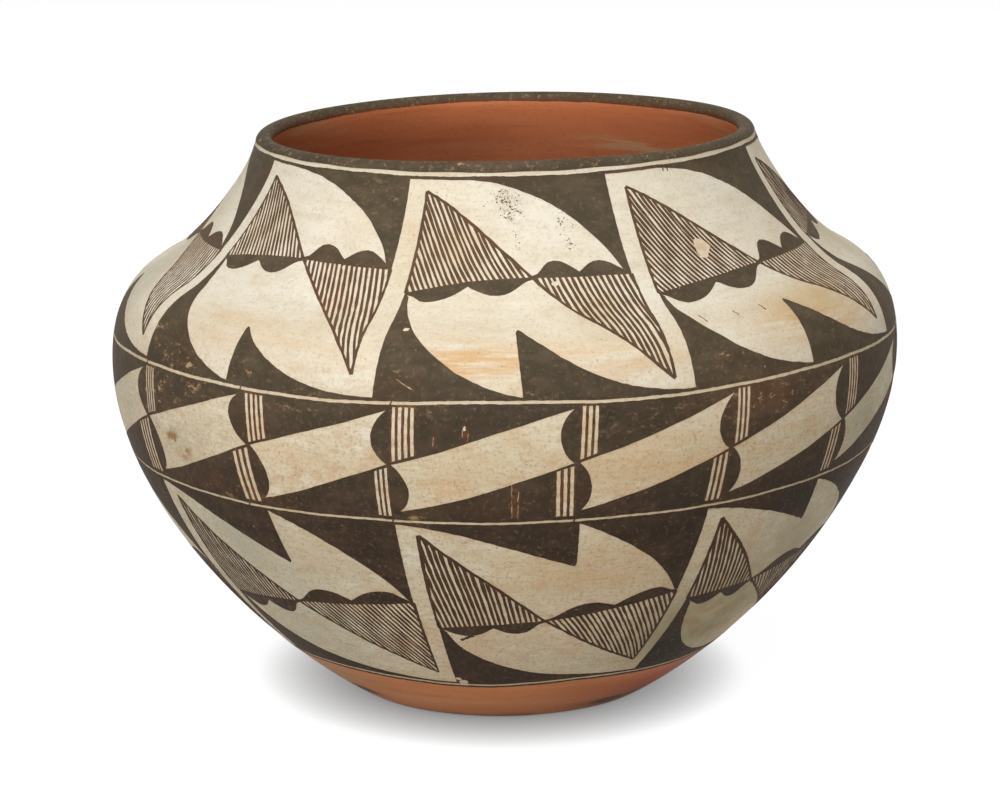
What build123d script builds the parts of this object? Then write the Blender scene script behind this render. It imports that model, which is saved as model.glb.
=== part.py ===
# Pueblo pottery jar, built up from coils: a base moulded in a dish, courses of flattened coils that
# lap over one another, a rim coil with a round lip, and thin coats of slip and paint over the clay.
# Millimetres, with +Z up. The origin is the centre of the flat ring that the jar stands on.
import os
from math import cos, pi, radians, sin

from build123d import *

# Heights of the finished outside, each counted from the one before
BELLY_HEIGHT = 132.0
SHOULDER_RISE = 37.0
NECK_HEIGHT = 47.0

# Radii of the finished outside
REST_RADIUS = 56.0
BELLY_RADIUS = 150.0
SHOULDER_INSET = 21.0
LIP_RADIUS = 92.5

# Slopes of the wall, counted up from level
FOOT_PITCH = radians(32)
SHOULDER_PITCH = radians(33)
LIP_PITCH = radians(82)

# How far each stretch of the outside holds the direction that it has at its two ends
UNDERBODY_HOLD = (44.0, 50.0)
SHOULDER_HOLD = (29.0, 7.0)
NECK_HOLD = (19.0, 11.0)

# Clay
WALL = 5.2
FLOOR = 9.0
FLOOR_HOLD = (12.0, 25.0)
FOOT_ROUND = 12.0
REST_WIDTH = 10.0
DENT_DEPTH = 11.0

# Coils, measured along the outside of the wall
BASE_SIDE = 50.0
COIL_COUNT = 9
RIM_SIDE = 20.0
LAP = 5.0

# Coats of slip and paint
COAT = 0.5
UNDERBODY_TOP = 22.5
RIM_PAINT_DROP = 2.2
MOUTH_SLIP_DEPTH = 62.0

# Places that follow from the sizes above
SHOULDER_HEIGHT = BELLY_HEIGHT + SHOULDER_RISE
JAR_HEIGHT = SHOULDER_HEIGHT + NECK_HEIGHT
SHOULDER_RADIUS = BELLY_RADIUS - SHOULDER_INSET
DENT_RADIUS = REST_RADIUS - REST_WIDTH
THICKNESS = WALL + 2 * COAT
SEAM_REACH = 1.5
UP = pi / 2


def spot(radius, height):
    return Vector(radius, 0, height)


def heading(pitch):
    """Direction of a wall that climbs outward at this pitch; past a right angle it leans inward."""
    return spot(cos(pitch), sin(pitch))


def outward(pitch):
    return spot(sin(pitch), -cos(pitch))


def stretch(start, start_pitch, end, end_pitch, hold, inset):
    """One smooth curve of the wall. Set in from the outside, it turns tighter or wider to match."""
    give = inset * (end_pitch - start_pitch) / 3
    low = start + heading(start_pitch) * (hold[0] - give)
    high = end - heading(end_pitch) * (hold[1] - give)
    return Bezier(start, low, high, end)


def foot_point(inset):
    return spot(REST_RADIUS, FOOT_ROUND) + outward(FOOT_PITCH) * (FOOT_ROUND + COAT - inset)


def lip_point(inset):
    centre = spot(LIP_RADIUS, JAR_HEIGHT - THICKNESS / 2)
    return centre + outward(pi - LIP_PITCH) * (THICKNESS / 2 - inset)


def wall_curves(inset):
    """The wall from foot to lip, set in from the finished outside by this much."""
    belly = spot(BELLY_RADIUS - inset, BELLY_HEIGHT)
    shoulder = spot(SHOULDER_RADIUS, SHOULDER_HEIGHT) - outward(pi - SHOULDER_PITCH) * inset
    foot = foot_point(inset)
    lip = lip_point(inset)
    underbody = stretch(foot, FOOT_PITCH, belly, UP, UNDERBODY_HOLD, inset)
    bulge = stretch(belly, UP, shoulder, pi - SHOULDER_PITCH, SHOULDER_HOLD, inset)
    neck = stretch(shoulder, pi - SHOULDER_PITCH, lip, pi - LIP_PITCH, NECK_HOLD, inset)
    return [underbody, bulge, neck]


def lip_arc(inset):
    start = lip_point(inset)
    return TangentArc(start, lip_point(THICKNESS - inset), tangent=heading(pi - LIP_PITCH))


def wall_section(inset):
    """Cut through the wall and lip alone, with both faces set in by this much."""
    inner_inset = THICKNESS - inset
    foot = Line(foot_point(inner_inset), foot_point(inset))
    edges = [foot, *wall_curves(inset), lip_arc(inset), *wall_curves(inner_inset)]
    return Face(Wire(edges))


def clay_section():
    """Cut through all the clay: wall and lip, round foot, flat ring, pressed-in dent and floor."""
    inner_inset = THICKNESS - COAT
    inner_foot = foot_point(inner_inset)
    floor_top = spot(0, DENT_DEPTH + FLOOR)
    floor_low = inner_foot - heading(FOOT_PITCH) * FLOOR_HOLD[0]
    floor = Bezier(inner_foot, floor_low, floor_top + spot(FLOOR_HOLD[1], 0), floor_top)
    dent_top = spot(0, DENT_DEPTH)
    dent = TangentArc(dent_top, spot(DENT_RADIUS, 0), tangent=spot(1, 0))
    ring = Line(spot(DENT_RADIUS, 0), spot(REST_RADIUS, 0))
    foot = TangentArc(spot(REST_RADIUS, 0), foot_point(COAT), tangent=spot(1, 0))
    outside = [ring, foot, *wall_curves(COAT), lip_arc(COAT)]
    inside = [*wall_curves(inner_inset), floor, Line(floor_top, dent_top), dent]
    return Face(Wire(outside + inside))


def seam(outside, distance):
    """Outer and inner end of the lapped joint this far up the outside, drawn past both faces."""
    start = outside.position_at(distance, position_mode=PositionMode.LENGTH)
    up = outside.tangent_at(distance, position_mode=PositionMode.LENGTH)
    inward = spot(-up.Z, up.X)
    across = inward * WALL - up * LAP
    return start - across * SEAM_REACH, start + across * (1 + SEAM_REACH)


def region(*corners):
    return Face(Wire.make_polygon(corners, close=True))


def level_band(low, high):
    reach = BELLY_RADIUS + WALL
    return region(spot(0, low), spot(reach, low), spot(reach, high), spot(0, high))


def clay_pieces():
    """The moulded base, the coil courses and the rim coil, cut apart at the lapped joints."""
    clay = clay_section()
    outside = Wire(wall_curves(COAT))
    course = (outside.length - BASE_SIDE - RIM_SIDE) / COIL_COUNT
    seams = [seam(outside, BASE_SIDE + course * step) for step in range(COIL_COUNT + 1)]
    first_out, first_in = seams[0]
    last_out, last_in = seams[-1]
    below = -FLOOR
    above = JAR_HEIGHT + WALL
    axis_top = spot(0, first_in.Z)
    base = region(spot(0, below), spot(BELLY_RADIUS, below), first_out, first_in, axis_top)
    rim = region(last_out, spot(BELLY_RADIUS, above), spot(0, above), last_in)
    pieces = {"moulded_base": clay & base, "rim_coil": clay & rim}
    for step in range(COIL_COUNT):
        low_out, low_in = seams[step]
        high_out, high_in = seams[step + 1]
        between = region(low_out, high_out, high_in, low_in)
        pieces[f"coil_course_{step + 1}"] = clay & between
    return pieces


def coat_pieces():
    """The coats, which meet edge to edge: red below, white over the body, painted lip, red mouth."""
    coat = wall_section(0) - wall_section(COAT)
    paint_edge = JAR_HEIGHT - RIM_PAINT_DROP
    mouth_edge = JAR_HEIGHT - MOUTH_SLIP_DEPTH
    underbody = coat & level_band(0, UNDERBODY_TOP)
    body = coat & level_band(UNDERBODY_TOP, paint_edge)
    mouth = coat & level_band(mouth_edge, paint_edge)
    lip = coat & level_band(paint_edge, JAR_HEIGHT + WALL)
    return {
        "red_slip_underbody": underbody.faces().sort_by(Axis.X)[-1],
        "white_slip_body": body.faces().sort_by(Axis.X)[-1],
        "red_slip_mouth": mouth.faces().sort_by(Axis.X)[0],
        "black_rim_paint": lip.faces()[0],
    }


os.makedirs("parts", exist_ok=True)
for node, section in (clay_pieces() | coat_pieces()).items():
    export_step(revolve(section, Axis.Z), f"parts/{node}.step")
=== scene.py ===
import random
from collections import Counter, namedtuple
from math import asin, cos, hypot, pi, radians, sin

import bpy
import numpy as np
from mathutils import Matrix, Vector
from mathutils.geometry import delaunay_2d_cdt


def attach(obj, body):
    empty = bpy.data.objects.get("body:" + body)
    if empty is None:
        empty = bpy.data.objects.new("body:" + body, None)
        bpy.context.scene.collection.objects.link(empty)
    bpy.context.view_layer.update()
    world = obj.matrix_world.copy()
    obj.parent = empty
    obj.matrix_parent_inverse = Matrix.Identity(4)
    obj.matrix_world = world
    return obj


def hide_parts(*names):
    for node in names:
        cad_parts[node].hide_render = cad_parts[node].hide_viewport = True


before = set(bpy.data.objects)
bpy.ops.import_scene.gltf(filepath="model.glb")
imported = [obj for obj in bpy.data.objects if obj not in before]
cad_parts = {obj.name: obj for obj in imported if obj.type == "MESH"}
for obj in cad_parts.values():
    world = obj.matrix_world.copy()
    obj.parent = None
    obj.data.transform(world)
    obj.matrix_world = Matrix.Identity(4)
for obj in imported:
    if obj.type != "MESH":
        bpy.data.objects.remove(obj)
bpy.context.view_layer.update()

MM = 0.001

# Sizes of the jar, the same as in its solid model
BELLY_HEIGHT = 132.0
SHOULDER_HEIGHT = 169.0
JAR_HEIGHT = 216.0
REST_RADIUS = 56.0
BELLY_RADIUS = 150.0
SHOULDER_RADIUS = 129.0
LIP_RADIUS = 92.5
FOOT_PITCH = radians(32)
BELLY_PITCH = pi / 2
SHOULDER_PITCH = radians(147)
LIP_PITCH = radians(98)
UNDERBODY_HOLD = (44.0, 50.0)
SHOULDER_HOLD = (29.0, 7.0)
NECK_HOLD = (19.0, 11.0)
COAT = 0.5
THICKNESS = 6.2
CLAY_WALL = THICKNESS - 2 * COAT
FLOOR_TOP = 20.0
FLOOR_HOLD = (12.0, 25.0)
FOOT_ROUND = 12.0
DENT_RADIUS = 46.0
DENT_DEPTH = 11.0
BASE_SIDE = 50.0
RIM_SIDE = 20.0
COIL_COUNT = 9
LAP = 5.0

# How finely the pieces are drawn: points along each curve, columns round the jar, rows in mm, the smallest
# steps that count, the angle that stays sharp, and a coat's hidden side's share of the texture map
WALL_POINTS = 240
ROUND_POINTS = 60
DENT_POINTS = 40
FLOOR_POINTS = 120
CLAY_COLUMNS = 200
COAT_COLUMNS = 320
MOUTH_COLUMNS = 280
RIM_COLUMNS = 720
CLAY_ROW = 2.5
LIP_ROW = 1.0
COAT_ROW = 2.0
FOOT_ROW = 1.6
RIM_ROW = 0.45
AXIS_GAP = 0.02
SAME_POINT = 1e-6
TINY = 1e-9
SHARP_ANGLE = radians(35)
UNDERSIDE_SHARE = 0.12

# Hand building: the jar leans, its upper part is tilted, and its wall is a little uneven. Uneven things
# are sums of waves, each with its number round the jar, its climb, its phase and its size.
LEAN = 0.009
TILT = 0.019
TILT_FULL_HEIGHT = 80.0
RIM_SQUEEZE = 0.013
RIM_SHIFT = 0.8
RIM_TILT = 0.004
RIM_RISE = (0.7, 34.0)
RIM_REACH = (192.0, 214.0)
LUMPS = ((2, 0.011, 3.4, 0.25), (3, -0.017, 2.1, 0.2), (5, 0.031, 4.0, 0.15), (9, 0.060, 1.2, 0.1))

# Distances of the painted lines: each white line is bare slip between two edges of black. After them are how
# far the paint stands out, sinks in and browns at its edges, and where the coats start, end and lie.
RED_TOP = 41.2
BASE_EDGE = (41.4, 42.6)
LOWER_BAND = (44.0, 136.1)
MIDDLE_BAND = (137.1, 179.95)
UPPER_BAND = (181.05, 270.6)
RIM_PAINT_START = 272.0
FRAME_LINE = 1.1
PAINT_RISE = 0.10
PAINT_SINK = 0.15
BROWN_EDGE = 0.45
THIN_BROWN = 0.72
MOUTH_SLIP_START = 1.0
MOUTH_SLIP_LENGTH = 66.0
FOOT_SLIP_START = 6.0
SLIP_UNDER_RIM = 2.5
COAT_LIFT = (0.05, COAT)
RIM_LIFT = (0.02, COAT + PAINT_RISE)

# The unsteady hand: shifts of the drawing in degrees, its rises in mm, and the roughness of its edges. The
# long lines also wave, as level, reach, number of waves, phase and size, and the rim's line dips in front.
SHIFT_WAVES = ((5, 0.045, 0, 0.07), (17, -0.11, 1, 0.05))
RISE_WAVES = ((11, 0.07, 2, 0.16), (29, 0.13, 0, 0.07), (61, 0.2, 0, 0.04))
ROUGH_WAVES = ((311, 1.9, 0, 0.06), (173, -3.1, 0, 0.05))
LINE_WAVES = ((RED_TOP, 12, 6, -0.73, 1.3), (MIDDLE_BAND[1], 14, 7, 1.94, 0.55))
RIM_DIP_REACH = 8

# Paint: its wear, the edges of the rim's, and the worn places there, at levels from the lip's top, in mm
PAINT_SEED = 11
PAINT_WEAR = 0.45
RIM_SEED = 5
RIM_PAINT_WEAR = 1.2
RIM_LOW_WAVES = ((23, 0, 0, 0.12),)
RIM_HIGH_WAVES = ((3, 0, 1, 0.40), (11, 0, 0, 0.10), (29, 0, 2, 0.04))
RIM_SHAKE = 0.08
SHAKE_BLEND = (0.25, 0.5, 0.25)
RIM_PAINT_REACH = 5.2
RIM_WEAR = 0.06
RIM_BROWN_REACH = 5
RIM_BROWN_LEAST = 0.4
CHIP_COUNT = 120
CHIP_LEVELS = (-3.2, 0.5, 4.4)
CHIP_SPREAD = 0.8
CHIP_WIDTHS = (0.5, 3)
CHIP_HEIGHT = 0.7
CHIP_STRENGTHS = (0.3, 1.2)

# One panel of the upper or lower band. Two hatched triangles, one down from an apex and one down to a
# foot, meet at a crossing. Each has a bar with two lobes along its level side, and a fin stands beside the
# crossing. Points are angle and distance. The leans are the shifts of the panel's sides at the band's edges.
Panel = namedtuple(
    "Panel",
    "left right left_corner right_corner cross apex foot tip fin_foot top_lean low_lean lobes bow"
    " arc fin bend",
    defaults=(None, None, 0),
)
PANEL_COUNT = 8
UPPER_PANELS = (
    Panel(-106.0, -63.5, 226.0, 231.5, (-83.2, 231.5), (-105.6, 264.4), (-63.8, 189.0), (-85.0, 205.0),
          -85.6, 0.3, -0.5, 6.5, 1.0),
    Panel(-60.2, -20.7, 230.1, 234.3, (-39.5, 235.7), (-59.7, 264.3), (-21.1, 189.6), (-40.3, 202.5),
          -41.2, 0.0, -0.6, 6.8, 1.0, fin=(0.13, 0.43, 0.40, 0.02), bend=1.7),
    Panel(-17.0, 21.8, 224.6, 230.9, (4.4, 231.4), (-16.6, 265.0), (23.0, 186.1), (1.6, 207.9),
          2.1, -0.5, -0.9, 6.4, 2.2),
    Panel(25.2, 67.4, 221.4, 228.5, (48.6, 227.2), (25.5, 264.3), (66.9, 188.8), (46.4, 208.9),
          46.7, 0.8, 0.7, 8.0, 0.8),
)
LOWER_PANELS = (
    Panel(-102.5, -60.4, 84.0, 94.0, (-83.0, 88.0), (-102.3, 130.5), (-60.0, 52.0), (-80.5, 112.0),
          -81.0, -0.3, 0.0, 6.4, 0.0),
    Panel(-56.3, -14.6, 83.2, 97.3, (-37.5, 89.1), (-57.4, 129.8), (-13.9, 52.1), (-34.7, 111.5),
          -35.7, -0.7, -0.5, 7.2, 0.0),
    Panel(-11.3, 29.4, 83.2, 96.2, (7.1, 87.1), (-12.2, 130.7), (28.9, 54.3), (10.4, 115.8),
          10.2, 0.2, 0.8, 5.9, 0.0),
    Panel(32.5, 74.0, 90.4, 99.0, (47.7, 91.2), (32.7, 129.8), (74.5, 54.0), (52.5, 117.3),
          52.0, 0.0, -0.8, 6.0, 0.0, arc=(0.20, 0.80, 0.93, 0.55)),
)

# The drawing is cut up flat, between a seam behind the jar and the same seam one turn on. There a degree is
# drawn as this many mm, and loose points fill the band in staggered rows. The texture map has the top of the
# paint first and its underside after it.
SEAM = -200.0
SEAM_END = SEAM + 360
CUT_DEGREE = 2.2
CUT_ROW = 2.4
CUT_COLUMNS = 241
CUT_STAGGER = 0.75
CUT_MERGE = 1e-4
WELD_DIGITS = 3
TOP_MAP = 0.7
UNDER_MAP = (0.72, 0.28)

# How a band draws its panels. The arcs and the fin are given by their inner guide points, as shares of a
# panel's width and of the height between its levels; the lobes' places are counted from the crossing.
Style = namedtuple(
    "Style",
    "low high arc short_arc fin upper_lean lower_lean upper_pitch lower_pitch bulge",
)
UPPER_STYLE = Style(
    low=UPPER_BAND[0], high=UPPER_BAND[1], arc=(0.18, 0.57, 0.885, 0.56),
    short_arc=(0.045, 0.55, 0.235, 0.11), fin=(0.23, 0.45, 0.47, 0.05),
    upper_lean=(64, 63), lower_lean=(68, 80), upper_pitch=1.97, lower_pitch=2.03, bulge=3.6,
)
LOWER_STYLE = Style(
    low=LOWER_BAND[0], high=LOWER_BAND[1], arc=(-0.05, 0.64, 0.92, 0.49),
    short_arc=(0.12, 0.52, 0.33, 0.16), fin=(0.28, 0.36, 0.62, 0.10),
    upper_lean=(62, 55), lower_lean=(79, 80), upper_pitch=1.88, lower_pitch=1.86, bulge=2.0,
)
LEFT_LOBES = (0.27, 0.51, 0.76)
RIGHT_LOBES = (0.225, 0.475, 0.70)
LOBE_DEPTHS = (1.06, 0.20, 0.96)
LOBE_GUIDES = (0.13, 0.12, 0.12, 0.14)
DIP_GUIDE = (0.05, 0.42)
BAR_ENDS = ((0.10, 0.04), (0.91, 0.10))
BAR_THICKNESS = 0.8
BAR_BACK = 0.2

# Where the arcs and the fin end, as degrees and mm from the panel's corners, and from the fin's tip and foot
ARC_END = (-1.3, 2.4)
SHORT_ARC_START = (0.8, -1.6)
SHORT_ARC_GAP = 0.2
TIP_BACK = (0.35, -0.4)
TIP_FRONT = (-0.25, -1.2)
TIP_POINT = (-0.05, 0)

# Brush work. Widths, steps and reaches are in mm; a hatching line's share is that of its pitch.
BRUSH_WOBBLE = 0.12
LINE_STEP = 2.0
CURVE_STEP = 1.6
FEWEST_POINTS = 6
SIDE_WIDTH = 1.05
HATCH_START = 0.6
HATCH_SHAKE = 0.06
LEAN_SHAKE = 0.4
HATCH_SHARE = (0.53, 0.61)
HATCH_STEP = 3.0
SHORTEST_HATCH = 1
PANEL_SHAKE = (0.4, 1.2)
KNOT_SHAKE = (0.7, 0.8)
APEX_GAP = 0.3
FOOT_GAP = 0.2
CURVE_GUIDE = 4 / 3

# The middle band: the knots where its white diamonds meet. Top and bottom are where the diamonds' round
# sides end, and the bulges how far those sides bend, in degrees. Beside each knot are white bars, above and
# below.
Bars = namedtuple("Bars", "count start width lean")
Knot = namedtuple("Knot", "angle level top bottom upper_bulge lower_bulge upper_bars lower_bars")
KNOT_COUNT = 16
KNOTS = (
    Knot(-60.0, 160.8, -1.5, 1.9, 2.2, 1.8, Bars(4, 0.2, 2.4, -0.7), Bars(4, -0.2, -3.6, 0.7)),
    Knot(-37.0, 160.5, -2.0, 1.6, 2.1, 1.8, Bars(4, 0.2, 3.0, -0.7), Bars(3, -0.2, -2.8, 0.9)),
    Knot(-15.5, 158.7, -0.4, 1.2, 2.1, 1.8, Bars(4, 0.5, 3.0, -0.1), Bars(3, -0.2, -1.8, 0.1)),
    Knot(9.4, 159.0, -0.5, 0.8, 1.9, 1.5, Bars(3, 0.4, 2.2, 0.2), Bars(3, -0.4, -2.3, 0.2)),
    Knot(31.7, 158.3, 0.2, 0.7, 2.0, 1.5, Bars(3, 0.5, 2.0, 0.3), Bars(3, -0.4, -2.3, -0.3)),
    Knot(54.5, 158.0, -0.8, 0.6, 2.2, 1.2, Bars(4, 0.5, 2.5, 0.3), Bars(3, -0.4, -2.2, -0.2)),
)
DIAMOND_TOP = 178.0
DIAMOND_BOTTOM = 140.7
BARS_TOP = 179.1
BARS_BOTTOM = 138.6
BARS_GAP = 0.85
BAR_SHARE = 0.55
SPACE_SHARE = 0.45
KNOT_HALF = 0.35
UPPER_GUIDES = (4.6, 4.4)
LOWER_GUIDES = (5.4, 2.9)
ROUND_GUIDE = 0.27
TICK_WIDTH = 0.55
TICK_LEAN = 0.2
TICK_REACH = 0.1
TICK_STEP = 0.5
UPPER_TICKS = (-60.4, -38.5, -15.4, 78.0, 124.0, -104.0, -150.0)
LOWER_TICKS = (-38.9, -15.6, 9.3, 101.0, 146.0, -127.0)

# Places where the paint flaked off, as angle, distance and half sizes; clusters of pits, the same way and
# with a count; and scratches and smears, from one place to another, the smears with a width
SPALLS = (
    (37.6, 237.5, 3.9, 4.2), (8.3, 228.6, 1.5, 1.2), (-14.7, 207.6, 1.4, 0.9), (60.5, 221.4, 0.9, 1.1),
    (-8.9, 45.4, 2.4, 2.2), (-10.0, 47.6, 1.2, 1.5), (-30.0, 233.9, 0.7, 0.8), (-5.4, 171.8, 0.5, 0.9),
    (128.0, 240.0, 2.4, 3.0), (-130.0, 214.0, 1.6, 2.0), (170.0, 60.0, 2.0, 2.0), (-160.0, 150.0, 1.6, 1.4),
)
PITS = (
    (-0.8, 262.5, 2.2, 2.2, 110), (0.9, 257.5, 2.0, 3.0, 150), (1.9, 246.5, 0.9, 3.0, 30),
    (10.9, 253.5, 1.7, 2.0, 60), (11.6, 245.0, 1.0, 4.0, 30), (-150.0, 255.0, 3.0, 4.0, 80),
)
SCRATCHES = (
    (1.0, 138.9, 0.9, 146.0), (0.9, 147.0, 0.8, 152.0), (1.7, 138.9, 1.8, 144.0), (1.7, 145.0, 1.8, 149.0),
    (-14.8, 188.6, -12.6, 185.2), (-5.7, 169.0, -5.6, 172.0), (-5.0, 167.5, -4.9, 170.0),
    (-9.5, 166.0, -9.4, 169.0),
)
SMEARS = (
    (29.6, 208.4, 30.3, 205.0, 0.4), (35.5, 208.2, 36.2, 205.9, 0.35), (40.9, 208.9, 41.5, 205.9, 0.4),
    (-7.7, 75.8, -6.2, 77.8, 1.1), (-6.8, 77.3, -5.2, 78.8, 0.9), (34.2, 272.4, 34.3, 270.2, 0.7),
    (35.4, 270.0, 35.5, 268.2, 0.4), (36.6, 269.8, 36.6, 268.0, 0.4), (150.0, 210.0, 150.6, 207.0, 0.4),
    (-120.0, 80.0, -119.0, 81.5, 0.8),
)
SCRATCH_WIDTH = 0.19
SCRATCH_STEP = 1.0
SCRATCH_WOBBLE = 0.6
SMEAR_STEP = 0.8
SMEAR_WOBBLE = 0.4
BLOB_SIZES = (0.65, 1.1)
BLOB_CORNERS = 9
PIT_SIZES = (0.08, 0.11, 0.15, 0.26)
PIT_SPREAD = (0.8, 1.2)
PIT_STRETCH = (0.5, 1.6)
PIT_CORNERS = 5

# The wall
FOOT_CENTRE = np.array((REST_RADIUS, FOOT_ROUND))
LIP_CENTRE = np.array((LIP_RADIUS, JAR_HEIGHT - THICKNESS / 2))


def heading(pitch):
    return np.array((cos(pitch), sin(pitch)))


def outward(pitch):
    return np.array((sin(pitch), -cos(pitch)))


def curve(start, low, high, end, count):
    """Points along a cubic curve."""
    t = np.linspace(0, 1, count)[:, None]
    points = [np.asarray(p, float) for p in (start, low, high, end)]
    weights = ((1 - t) ** 3, 3 * t * (1 - t) ** 2, 3 * t ** 2 * (1 - t), t ** 3)
    return sum(w * p for w, p in zip(weights, points))


def round_curve(centre, radius, start_pitch, end_pitch):
    pitches = np.linspace(start_pitch, end_pitch, ROUND_POINTS)
    return np.array([centre + radius * outward(p) for p in pitches])


def stretch(start, start_pitch, end, end_pitch, hold, inset):
    give = inset * (end_pitch - start_pitch) / 3
    low = start + heading(start_pitch) * (hold[0] - give)
    high = end - heading(end_pitch) * (hold[1] - give)
    return curve(start, low, high, end, WALL_POINTS)


def foot_point(inset):
    return FOOT_CENTRE + outward(FOOT_PITCH) * (FOOT_ROUND + COAT - inset)


def wall_curves(inset):
    """The wall from foot to lip, set in from the finished outside by this much."""
    belly = np.array((BELLY_RADIUS - inset, BELLY_HEIGHT))
    shoulder = np.array((SHOULDER_RADIUS, SHOULDER_HEIGHT)) - outward(SHOULDER_PITCH) * inset
    lip = LIP_CENTRE + outward(LIP_PITCH) * (THICKNESS / 2 - inset)
    underbody = stretch(foot_point(inset), FOOT_PITCH, belly, BELLY_PITCH, UNDERBODY_HOLD, inset)
    bulge = stretch(belly, BELLY_PITCH, shoulder, SHOULDER_PITCH, SHOULDER_HOLD, inset)
    neck = stretch(shoulder, SHOULDER_PITCH, lip, LIP_PITCH, NECK_HOLD, inset)
    return np.vstack((underbody, bulge, neck))


def clay_outline():
    """The clay's outline from the middle of the underside, up the outside and down to the floor."""
    ball = (DENT_RADIUS ** 2 + DENT_DEPTH ** 2) / (2 * DENT_DEPTH)
    swings = np.linspace(0, asin(DENT_RADIUS / ball), DENT_POINTS)
    dent = np.array([(ball * sin(a), DENT_DEPTH - ball + ball * cos(a)) for a in swings])
    foot = round_curve(FOOT_CENTRE, FOOT_ROUND, 0, FOOT_PITCH)
    lip = round_curve(LIP_CENTRE, CLAY_WALL / 2, LIP_PITCH, LIP_PITCH + pi)
    inside = wall_curves(THICKNESS - COAT)[::-1]
    inner_foot = inside[-1]
    floor_low = inner_foot - heading(FOOT_PITCH) * FLOOR_HOLD[0]
    floor = curve(inner_foot, floor_low, (FLOOR_HOLD[1], FLOOR_TOP), (0, FLOOR_TOP), FLOOR_POINTS)
    points = np.vstack((dent, foot, wall_curves(COAT), lip, inside, floor))
    steps = np.linalg.norm(np.diff(points, axis=0), axis=1)
    return points[np.concatenate(([True], steps > SAME_POINT))]


def along(points):
    steps = np.linalg.norm(np.diff(points, axis=0), axis=1)
    return np.concatenate(([0], np.cumsum(steps)))


CLAY = clay_outline()
slope = np.gradient(CLAY, along(CLAY), axis=0)
slope /= np.linalg.norm(slope, axis=1)[:, None]
CLAY_NORMAL = np.column_stack((slope[:, 1], -slope[:, 0]))
DISTANCE = along(CLAY + COAT * CLAY_NORMAL)
DISTANCE -= DISTANCE[np.argmin(np.hypot(CLAY[:, 0] - REST_RADIUS, CLAY[:, 1]))]
LIP_TOP = DISTANCE[np.argmax(CLAY[:, 1])]
UNDERSIDE_MIDDLE = DISTANCE[0]
FLOOR_MIDDLE = DISTANCE[-1]


def wall_radius(distance):
    return np.interp(distance, DISTANCE, CLAY[:, 0] + COAT * CLAY_NORMAL[:, 0])


def degree_length(distance):
    """Millimetres to one degree round the jar."""
    return wall_radius(distance) * pi / 180


def off_front(angle):
    return (np.asarray(angle) + 180) % 360 - 180


def ripple(turn, height, waves):
    """A sum of waves round the jar."""
    return sum(size * np.sin(count * turn + climb * height + phase) for count, climb, phase, size in waves)


def place(angle, distance, lift):
    """Points in metres, lifted off the clay by this many millimetres."""
    turn = np.radians(angle)
    radius = np.interp(distance, DISTANCE, CLAY[:, 0])
    height = np.interp(distance, DISTANCE, CLAY[:, 1])
    radius = radius + lift * np.interp(distance, DISTANCE, CLAY_NORMAL[:, 0])
    height = height + lift * np.interp(distance, DISTANCE, CLAY_NORMAL[:, 1])
    swell = np.clip(radius / REST_RADIUS, 0, 1)
    radius = radius + swell * ripple(turn, height, LUMPS)
    x = radius * np.sin(turn)
    y = -radius * np.cos(turn)
    rim = np.clip((height - RIM_REACH[0]) / (RIM_REACH[1] - RIM_REACH[0]), 0, 1) ** 2
    tilt = TILT * np.clip(height / TILT_FULL_HEIGHT, 0, 1) + RIM_TILT * rim
    x = x - rim * (RIM_SQUEEZE * x + RIM_SHIFT)
    height = height + rim * RIM_RISE[0] * np.exp(-(off_front(angle) / RIM_RISE[1]) ** 2)
    return np.stack((x + LEAN * height, y, height + tilt * x), axis=-1) * MM


# Turned pieces
def turned_mesh(name, angles, distance, lift, share, closes):
    """A surface with one row per place on its section. It closes on itself or ends on the axis."""
    rows, columns = distance.shape
    corners = place(angles[None, :], distance, lift).reshape(-1, 3)
    last_row = rows if closes else rows - 1
    row, column = np.meshgrid(np.arange(last_row), np.arange(columns), indexing="ij")
    row, column = row.ravel(), column.ravel()
    next_row, next_column = (row + 1) % rows, (column + 1) % columns
    faces = np.column_stack((
        row * columns + column, row * columns + next_column,
        next_row * columns + next_column, next_row * columns + column,
    ))
    run = np.concatenate(([0], np.cumsum(share)))[:last_row + 1] / np.sum(share[:last_row])
    u = np.column_stack((column, column + 1, column + 1, column)) / columns
    v = np.column_stack((run[row], run[row], run[row + 1], run[row + 1]))
    mesh = bpy.data.meshes.new(name)
    mesh.from_pydata(corners.tolist(), [], faces.tolist())
    layer = mesh.uv_layers.new(name="OFBake")
    layer.data.foreach_set("uv", np.stack((u, v), axis=-1).ravel())
    return mesh


def add_object(name, data):
    holder = bpy.data.objects.new(name, data)
    bpy.context.scene.collection.objects.link(holder)
    return holder


def finish_piece(name, mesh, material, nodes):
    mesh.polygons.foreach_set("use_smooth", np.ones(len(mesh.polygons), bool))
    mesh.set_sharp_from_angle(angle=SHARP_ANGLE)
    mesh.materials.append(material)
    piece = add_object(name, mesh)
    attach(piece, "root")
    if nodes:
        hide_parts(*nodes)


def keep_marks(mesh, marks):
    """Stores soft patches, worked out at each corner, for the material to read."""
    for name, values in marks.items():
        layer = mesh.attributes.new(name, "FLOAT", "POINT")
        layer.data.foreach_set("value", np.asarray(values, np.float32).ravel())


def patches(angle, distance, spots):
    """Soft oval patches: angle, distance, half width and half height in mm, and strength."""
    total = np.zeros(np.broadcast(angle, distance).shape)
    for middle, level, wide, tall, strength in spots:
        x = off_front(np.asarray(angle) - middle) * degree_length(level) / wide
        y = (np.asarray(distance) - level) / tall
        total += strength * np.exp(-x ** 2 - y ** 2)
    return total


def all_patches(angle, distance, tables):
    return {name: patches(angle, distance, spots) for name, spots in tables.items()}


def steps_between(start, end, spacing):
    return np.linspace(start, end, max(2, int(abs(end - start) / spacing) + 1))


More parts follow.
